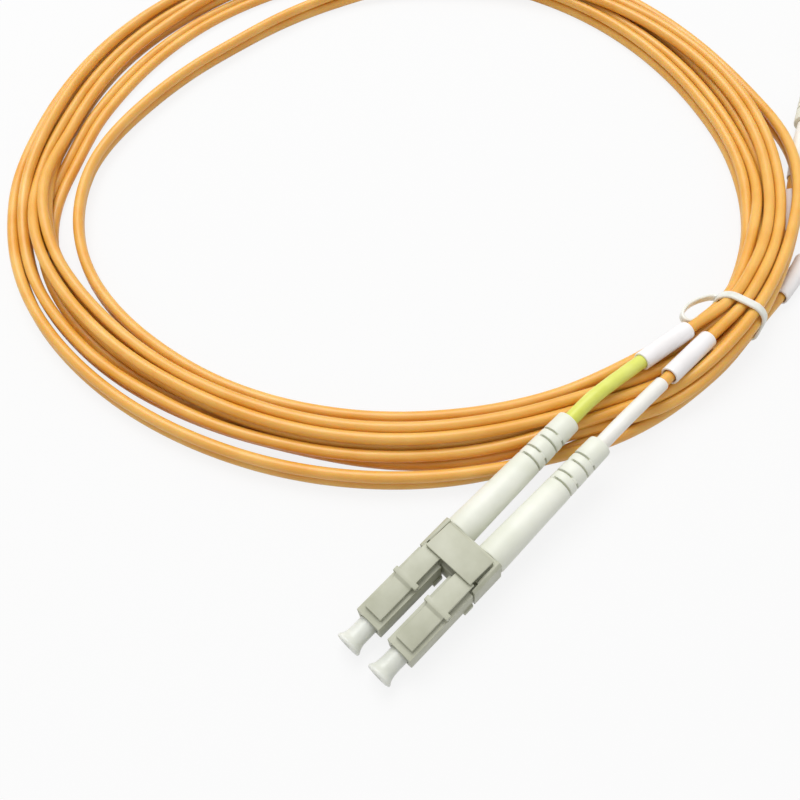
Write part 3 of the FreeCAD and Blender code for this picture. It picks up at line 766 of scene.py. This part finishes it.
print("rings in a sleeve", len(sleeve_profile(0, 10, 1.2, 1)))

# %% Marker and label sleeves
MARKER = {"start": 0.1, "end": 16.2, "radius": 1.22, "bore": 1.03}
LABEL = {"length": 11.2, "radius": 1.6, "bore": 1.24}
LABEL_STARTS = {"a": 17.4, "b": 18.2, "c": 36.5, "d": 20.5}
# The sleeve on leg a runs this far under its label.
LAP = 0.2
lime = finish(
    "lime_sleeve", (218, 223, 93), (229, 233, 121), cloud=4, grain=0.2, depth=0.008,
    gloss=(0.34, 0.45), **soft(0.15, 0.8, (1.0, 1.0, 0.4)),
)
white = finish(
    "white_sleeve", (238, 235, 227), (246, 244, 237), cloud=4, grain=0.2, depth=0.008,
    gloss=(0.36, 0.48), **soft(0.12, 0.8, (1.0, 0.97, 0.92)),
)
label_film = finish(
    "label_film", (240, 236, 235), (247, 244, 244), cloud=5, grain=0.25, depth=0.006,
    gloss=(0.32, 0.46), **soft(0.12, 0.8, (1.0, 0.97, 0.95)),
)
for key in PLUGS:
    label_start = LABEL_STARTS[key]
    label_end = label_start + LABEL["length"]
    label = sleeve_profile(label_start, label_end, LABEL["radius"], LABEL["bore"])
    marker_end = label_start + LAP if key == "a" else MARKER["end"]
    marker = sleeve_profile(MARKER["start"], marker_end, MARKER["radius"], MARKER["bore"])
    tone, slot = (lime, "lime_sleeve") if key in "ac" else (white, "white_sleeve")
    turned_piece(
            f"marker_{key}", on_cord(key), marker, SIDES["marker"],
            tone, "cable", slot, f"marker_sleeve_{key}",
        )
    turned_piece(
            f"label_{key}", on_cord(key), label, SIDES["label"],
            label_film, "cable", "label_film", f"label_sleeve_{key}",
        )

# %% [markdown]
# ## Moulded plug parts
# The housings, clips and triggers keep the exact CAD form. A moulded edge is never sharp, though,
# so each part is a merged copy of its CAD mesh with a small bevel, which catches the light along
# every edge. The copy then stands for its node.

# %% Helpers that soften a copy of a CAD part
SHARP_EDGE = math.radians(25)
FLAT_EDGE = math.radians(1)
MERGE_WITHIN = 0.001 * MM


def merge_flat_faces(work):
    bmesh.ops.dissolve_limit(work, angle_limit=FLAT_EDGE, verts=work.verts, edges=work.edges)


def rounded(work, name, width):
    """The mesh of a bmesh whose sharp edges are rounded."""
    inner = [edge for edge in work.edges if len(edge.link_faces) == 2]
    sharp = [edge for edge in inner if edge.calc_face_angle(0) > SHARP_EDGE]
    bmesh.ops.bevel(
        work, geom=sharp, offset=width * MM, offset_type="OFFSET", segments=2, profile=0.5,
        affect="EDGES", clamp_overlap=True,
    )
    mesh = bpy.data.meshes.new(name)
    work.to_mesh(mesh)
    work.free()
    return mesh


def softened(node, width):
    """A copy of a CAD node with merged faces and rounded edges."""
    work = bmesh.new()
    work.from_mesh(frame["nodes"][node].data)
    bmesh.ops.remove_doubles(work, verts=work.verts, dist=MERGE_WITHIN)
    merge_flat_faces(work)
    return rounded(work, node + "_soft", width)


print("edges above %.0f degrees are rounded" % math.degrees(SHARP_EDGE))

# %% Housings, clips and triggers
plug_plastic = finish(
    "moulded_plug_plastic", (179, 180, 159), (194, 195, 176), cloud=4, grain=0.18, depth=0.012,
    gloss=(0.38, 0.52), **soft(0.1, 0.6, (1.0, 0.95, 0.8)),
)


def moulded_piece(node, mesh, body):
    return piece(node + "_soft", mesh, plug_plastic, body, "plug_plastic", node, sharp=50)


MOULDED_EDGE = 0.12
MOULDED = [(f"plug_housing_{key}", "cable") for key in PLUGS]
MOULDED += [(f"duplex_clip_{twin}", "cable") for twin in TWINS]
MOULDED += [(f"trigger_{twin}", f"{twin}_trigger") for twin in TWINS]
for node, body in MOULDED:
    moulded_piece(node, softened(node, MOULDED_EDGE), body)
print("moulded parts", len(MOULDED))

# %% [markdown]
# ## Latch levers
# The lever springs from a thick pad near the nose, steps up steeply at its catch ears and runs back
# under the trigger. A copy of the CAD lever would do, but its pad is plainer than the real one.
# Three slices of the side view are joined into one closed shell instead, the middle one wider for
# the ears.

# %% Levers with a stepped pad
ARM_HALF, EAR_HALF = 1.6, 2.25
LEVER_EDGE = 0.1
# Each slice goes round its side view: behind the nose and above the axis, in millimetres.
PAD_SLICE = [
    (1.1, 2.27), (2.0, 2.27), (6.8, 2.62), (7.5, 2.68), (7.5, 3.55), (7.05, 3.02), (1.1, 3.0),
]
EAR_SLICE = [(7.5, 2.68), (8.4, 2.74), (8.4, 3.56), (7.5, 3.55)]
ARM_SLICE = [(8.4, 2.74), (12.4, 3.05), (13.9, 3.01), (13.9, 3.44), (12.4, 3.62), (8.4, 3.56)]


def lever_shell(key):
    """A closed shell of a lever's three slices, in its plug's axes."""
    work = bmesh.new()
    corners = {}
    lone = {}

    def corner(spot, side):
        if (spot, side) not in corners:
            corners[spot, side] = work.verts.new(plugs[key].at(spot[0], side, spot[1]))
        return corners[spot, side]

    def wall(start, end, side, other):
        places = ((start, side), (end, side), (end, other), (start, other))
        work.faces.new([corner(*place) for place in places])

    for outline in (PAD_SLICE, EAR_SLICE, ARM_SLICE):
        half = EAR_HALF if outline is EAR_SLICE else ARM_HALF
        for hand in (-1, 1):
            work.faces.new([corner(spot, hand * half) for spot in outline])
        for start, end in zip(outline, outline[1:] + outline[:1]):
            if outline is EAR_SLICE:
                for hand in (-1, 1):
                    wall(start, end, hand * ARM_HALF, hand * EAR_HALF)
            # Two slices share the edge between them, which gets no wall.
            if lone.pop(frozenset((start, end)), None) is None:
                lone[frozenset((start, end))] = (start, end)
    for start, end in lone.values():
        wall(start, end, -ARM_HALF, ARM_HALF)
    bmesh.ops.recalc_face_normals(work, faces=work.faces)
    merge_flat_faces(work)
    return work


for key in PLUGS:
    node = f"latch_lever_{key}"
    lever = rounded(lever_shell(key), node + "_soft", LEVER_EDGE)
    moulded_piece(node, lever, f"latch_{key}")
print("latch levers", len(PLUGS), "faces each", len(lever.polygons))

# %% [markdown]
# ## Metal inside the plug
# A small six-sided collar holds the ferrule, and a crimp body behind it grips the cord. They are
# cut and pressed from bar, so they get a tighter bevel and a metal finish with a fine grain.

# %% Collars and crimp bodies
collar_metal = finish(
    "turned_collar_metal", (186, 184, 178), (206, 204, 198), cloud=1.5, grain=0.08, depth=0.004,
    gloss=(0.22, 0.36), Metallic=1.0,
)
crimp_metal = finish(
    "plated_crimp_metal", (190, 186, 176), (212, 208, 198), cloud=2, grain=0.1, depth=0.005,
    gloss=(0.2, 0.34), Metallic=1.0,
)
COLLAR_EDGE, CRIMP_EDGE = 0.04, 0.05
for key in PLUGS:
    node = f"ferrule_collar_{key}"
    collar = softened(node, COLLAR_EDGE)
    piece(node + "_cut", collar, collar_metal, f"ferrule_{key}", "collar_metal", node)
    node = f"crimp_body_{key}"
    crimp = softened(node, CRIMP_EDGE)
    piece(node + "_cut", crimp, crimp_metal, "cable", "crimp_metal", node)
print("metal parts", 2 * len(PLUGS))

# %% [markdown]
# ## Springs
# A spring behind each collar lets the ferrule float. A coil spring follows a rule, so Geometry
# Nodes make it: a spiral swept by a round wire, with the size of each as a named input. The mesh is
# taken from the evaluated object and then turned into the plug's own axes.

# %% Helpers for node trees
def size_inputs(tree, sizes):
    """Named inputs for a tree's sizes, and its one output."""
    for name, value in sizes.items():
        socket = tree.interface.new_socket(name, in_out="INPUT", socket_type="NodeSocketFloat")
        socket.default_value = value
    tree.interface.new_socket("Geometry", in_out="OUTPUT", socket_type="NodeSocketGeometry")


def sweep_and_paint(tree, path, section, material):
    """The end of a tree: a section swept along a path, made real and given its finish."""
    nodes, links = tree.nodes, tree.links
    sweep = nodes.new("GeometryNodeCurveToMesh")
    sweep.inputs["Fill Caps"].default_value = True
    links.new(path, sweep.inputs["Curve"])
    links.new(section, sweep.inputs["Profile Curve"])
    realize = nodes.new("GeometryNodeRealizeInstances")
    links.new(sweep.outputs["Mesh"], realize.inputs["Geometry"])
    painted = nodes.new("GeometryNodeSetMaterial")
    painted.inputs["Material"].default_value = material
    links.new(realize.outputs["Geometry"], painted.inputs["Geometry"])
    links.new(painted.outputs["Geometry"], nodes.new("NodeGroupOutput").inputs["Geometry"])


print("node groups so far", len(bpy.data.node_groups))

# %% The spring tree
SPRING_START, SPRING_END = 9.76, 13.24
SPRING = {
    "Mean radius": 1.07, "Wire radius": 0.14, "Length": SPRING_END - SPRING_START, "Turns": 3.0,
}
TURN_STEPS, WIRE_SIDES = 32, 12


def spring_tree(material):
    tree = bpy.data.node_groups.new("wire_spring", "GeometryNodeTree")
    size_inputs(tree, SPRING)
    nodes, links = tree.nodes, tree.links
    sizes = nodes.new("NodeGroupInput").outputs
    spiral = nodes.new("GeometryNodeCurveSpiral")
    spiral.inputs["Resolution"].default_value = TURN_STEPS
    links.new(sizes["Turns"], spiral.inputs["Rotations"])
    links.new(sizes["Mean radius"], spiral.inputs["Start Radius"])
    links.new(sizes["Mean radius"], spiral.inputs["End Radius"])
    links.new(sizes["Length"], spiral.inputs["Height"])
    wire = nodes.new("GeometryNodeCurvePrimitiveCircle")
    wire.inputs["Resolution"].default_value = WIRE_SIDES
    links.new(sizes["Wire radius"], wire.inputs["Radius"])
    sweep_and_paint(tree, spiral.outputs["Curve"], wire.outputs["Curve"], material)
    return tree


spring_steel = finish(
    "drawn_spring_wire", (150, 150, 154), (176, 176, 180), cloud=0.8, grain=0.06, depth=0.003,
    gloss=(0.2, 0.3), Metallic=1.0,
)
spring_nodes = spring_tree(spring_steel)
print("spring inputs", [s.name for s in spring_nodes.interface.items_tree if s.in_out == "INPUT"])

# %% One spring in each plug
# Where the spring rests on the crimp body, and the share of its length that it keeps when pressed.
SPRING_SEAT, SPRING_KEEP = 13.38, 0.84
holder = bpy.data.objects.new("spring_holder", bpy.data.meshes.new("spring_holder"))
scene.collection.objects.link(holder)
modifier = holder.modifiers.new("spring", "NODES")
modifier.node_group = spring_nodes
for socket in spring_nodes.interface.items_tree:
    if socket.in_out == "INPUT":
        modifier[socket.identifier] = SPRING[socket.name]
wound = evaluated_mesh(holder)
bpy.data.objects.remove(holder)
for key in PLUGS:
    plug = plugs[key]
    mesh = wound.copy()
    for vertex in mesh.vertices:
        x, y, z = vertex.co
        vertex.co = plug.at(SPRING_START + z, y, x)
    mesh.flip_normals()
    node = f"ferrule_spring_{key}"
    made = piece(node + "_wire", mesh, spring_steel, "cable", "spring_steel", node, sharp=80)
    plug.at(SPRING_SEAT)
    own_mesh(made)
print("spring triangles", 2 * len(wound.polygons))

# %% [markdown]
# ## Twist tie
# The tie is a thin wire in a flat plastic strip. It is bent once round the bundle, and its end
# stands off in a loose loop. A strip that follows a path is a job for Geometry Nodes: the path's
# points carry the direction across the strip, and a small rounded profile is swept along it.

# %% The strip tree
STRIP = {"Width": 1.5 * MM, "Thickness": 0.6 * MM, "Edge": 0.27 * MM}
EDGE_STEPS = 4


def strip_tree(material):
    tree = bpy.data.node_groups.new("coated_strip", "GeometryNodeTree")
    tree.interface.new_socket("Geometry", in_out="INPUT", socket_type="NodeSocketGeometry")
    size_inputs(tree, STRIP)
    nodes, links = tree.nodes, tree.links
    given = nodes.new("NodeGroupInput").outputs
    path = nodes.new("GeometryNodeMeshToCurve")
    links.new(given["Geometry"], path.inputs["Mesh"])
    across = nodes.new("GeometryNodeInputNamedAttribute")
    across.data_type = "FLOAT_VECTOR"
    across.inputs["Name"].default_value = "across"
    facing = nodes.new("GeometryNodeSetCurveNormal")
    facing.mode = "FREE"
    links.new(path.outputs["Curve"], facing.inputs["Curve"])
    links.new(across.outputs["Attribute"], facing.inputs["Normal"])
    section = nodes.new("GeometryNodeCurvePrimitiveQuadrilateral")
    links.new(given["Width"], section.inputs["Width"])
    links.new(given["Thickness"], section.inputs["Height"])
    fillet = nodes.new("GeometryNodeFilletCurve")
    fillet.mode = "POLY"
    fillet.inputs["Count"].default_value = EDGE_STEPS
    links.new(section.outputs["Curve"], fillet.inputs["Curve"])
    links.new(given["Edge"], fillet.inputs["Radius"])
    sweep_and_paint(tree, facing.outputs["Curve"], fillet.outputs["Curve"], material)
    return tree


tie_coating = finish(
    "tie_coating", (226, 227, 216), (240, 241, 234), cloud=2, grain=0.2, depth=0.01,
    gloss=(0.25, 0.4), **soft(0.4, 1, (1.0, 1.0, 0.95)),
)
strip_nodes = strip_tree(tie_coating)
print("strip tree nodes", len(strip_nodes.nodes))

# %% The tie's path
TIE = {"radius": 72.8, "half": 4.4, "low": 0.7, "high": 8.6}
TIE_CORNERS = {"high": 2.9, "low": 1.5}
CORNER_STEPS = 6
# The loose loop, from its end to the bundle's side: outward, along the coil and up.
TIE_LOOP = [
    (-5.4, -5.6, 5.6), (-5.7, -7.0, 5.7), (-6.8, -7.6, 5.75), (-7.9, -7.0, 5.75),
    (-8.2, -5.4, 5.75), (-7.7, -3.2, 5.75), (-6.2, -0.8, 5.75), (-4.9, 0.5, 5.6),
    (-4.45, 0.0, 5.9),
]
# Where the strip ends on the bundle's side, under the loop.
TIE_END = (-4.43, 0.1, 5.5)


def tie_round():
    """The strip's middle line once round the bundle, from its inner side over the top."""
    places = []
    corners = [(-1, "high", 180), (1, "high", 90), (1, "low", 0), (-1, "low", 270)]
    for side, level, first in corners:
        corner = TIE_CORNERS[level]
        middle_out = side * (TIE["half"] - corner)
        middle_up = TIE[level] - corner if level == "high" else TIE[level] + corner
        for i in range(CORNER_STEPS + 1):
            angle = math.radians(first - 90 * i / CORNER_STEPS)
            out, up = corner * math.cos(angle), corner * math.sin(angle)
            places.append((middle_out + out, 0.0, middle_up + up))
    return places


# Each point of a path has its direction for the strip tree: up, or along the coil. The loop's last
# point lies inside the strip round the bundle and is left out.
loop_line = line_points([MM * Vector(place) for place in TIE_LOOP])
loop_path = [(place, UP) for place in loop_line[:-1]]
ring_path = [(MM * Vector(place), Vector((0, 1, 0))) for place in tie_round() + [TIE_END]]
print("loop points", len(loop_path), "round the bundle", len(ring_path))

# %% The tie's two pieces
tied_at = math.radians(TIED_ANGLE)
outward = Vector((math.cos(tied_at), math.sin(tied_at), 0))
along = Vector((-math.sin(tied_at), math.cos(tied_at), 0))


def at_tie(place):
    return place.x * outward + place.y * along + place.z * UP


def strip_mesh(name, path):
    """The strip swept along a path, in its place on the coil."""
    mesh = bpy.data.meshes.new(name)
    places = [at_tie(place) for place, _ in path]
    mesh.from_pydata(places, [(i, i + 1) for i in range(len(places) - 1)], [])
    facing = mesh.attributes.new("across", "FLOAT_VECTOR", "POINT")
    for item, (_, direction) in zip(facing.data, path):
        item.vector = at_tie(direction)
    made = bpy.data.objects.new(name, mesh)
    scene.collection.objects.link(made)
    modifier = made.modifiers.new("strip", "NODES")
    modifier.node_group = strip_nodes
    swept = evaluated_mesh(made)
    bpy.data.objects.remove(made)
    for vertex in swept.vertices:
        vertex.co += TIE["radius"] * MM * outward
    return swept


for name, path in (("twist_tie_strip", ring_path), ("twist_tie_loop", loop_path)):
    mesh = strip_mesh(name, path)
    piece(name, mesh, tie_coating, "cable", "tie_coating", "twist_tie", sharp=60)
    print(name, "faces", len(mesh.polygons))

# %% [markdown]
# ## The cords in place of the CAD cords
# They stand for the CAD legs and the coil's solid, which are hidden. The sleeves ride on the same
# cable body.

# %% Hide the CAD legs and coil
for ends, cord in cords.items():
    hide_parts(f"cord_leg_{ends[0]}", f"cord_leg_{ends[1]}", "cord_coil")
    plugs[ends[0]].at(BOOT_END)
print("declared", list(cords))

# %% [markdown]
# ## Floor and light
# The cable lies on a plain white sheet under a large soft light from one side, as for a catalogue.
# The sheet's white comes from its own material for what the camera sees, so the lamp can stay at a
# plain level and the sheet keeps a soft shadow.

# %% White sheet
PAPER_GREY = 0.72
# The share of plain white in what the camera sees. The rest is lit paper, which keeps the shadow.
WHITE_SHARE = 0.85
FLOOR_REACH = 3.0


def sheet_material():
    material = bpy.data.materials.new("white_sheet")
    material.use_nodes = True
    nodes, links = material.node_tree.nodes, material.node_tree.links
    nodes.clear()
    paper = nodes.new("ShaderNodeBsdfDiffuse")
    paper.inputs["Color"].default_value = (PAPER_GREY, PAPER_GREY, PAPER_GREY, 1)
    glow = nodes.new("ShaderNodeEmission")
    glow.inputs["Color"].default_value = (1, 1, 1, 1)
    part = nodes.new("ShaderNodeMixShader")
    part.inputs["Fac"].default_value = WHITE_SHARE
    links.new(paper.outputs["BSDF"], part.inputs[1])
    links.new(glow.outputs["Emission"], part.inputs[2])
    rays = nodes.new("ShaderNodeLightPath")
    seen = rays.outputs["Is Camera Ray"]
    for ray in ("Is Glossy Ray", "Is Transmission Ray"):
        either = nodes.new("ShaderNodeMath")
        either.operation = "MAXIMUM"
        links.new(seen, either.inputs[0])
        links.new(rays.outputs[ray], either.inputs[1])
        seen = either.outputs["Value"]
    which = nodes.new("ShaderNodeMixShader")
    links.new(seen, which.inputs["Fac"])
    links.new(paper.outputs["BSDF"], which.inputs[1])
    links.new(part.outputs["Shader"], which.inputs[2])
    links.new(which.outputs["Shader"], nodes.new("ShaderNodeOutputMaterial").inputs["Surface"])
    return material


floor_mesh = bpy.data.meshes.new("floor")
sides = ((-1, -1), (1, -1), (1, 1), (-1, 1))
floor_corners = [(x * FLOOR_REACH, y * FLOOR_REACH, 0) for x, y in sides]
floor_mesh.from_pydata(floor_corners, [], [(0, 1, 2, 3)])
floor_mesh.materials.append(sheet_material())
floor = bpy.data.objects.new("floor", floor_mesh)
scene.collection.objects.link(floor)
print("floor", 2 * FLOOR_REACH, "m wide")

# %% World and lamp
WORLD_LEVEL = 0.58
LAMP_PLACE = (0.14, 0.35, 0.82)
LAMP_POWER, LAMP_SIZE = 6.0, 0.6

world = bpy.data.worlds.new("studio")
world.use_nodes = True
sky = world.node_tree.nodes["Background"]
sky.inputs["Color"].default_value = (1, 1, 1, 1)
sky.inputs["Strength"].default_value = WORLD_LEVEL
scene.world = world

lamp_data = bpy.data.lights.new("key", "AREA")
lamp_data.energy = LAMP_POWER
lamp_data.size = LAMP_SIZE
lamp = bpy.data.objects.new("key", lamp_data)
lamp.location = LAMP_PLACE
lamp.rotation_euler = (-Vector(LAMP_PLACE)).to_track_quat("-Z", "Y").to_euler()
scene.collection.objects.link(lamp)
print("lamp", lamp.name, "power", LAMP_POWER)
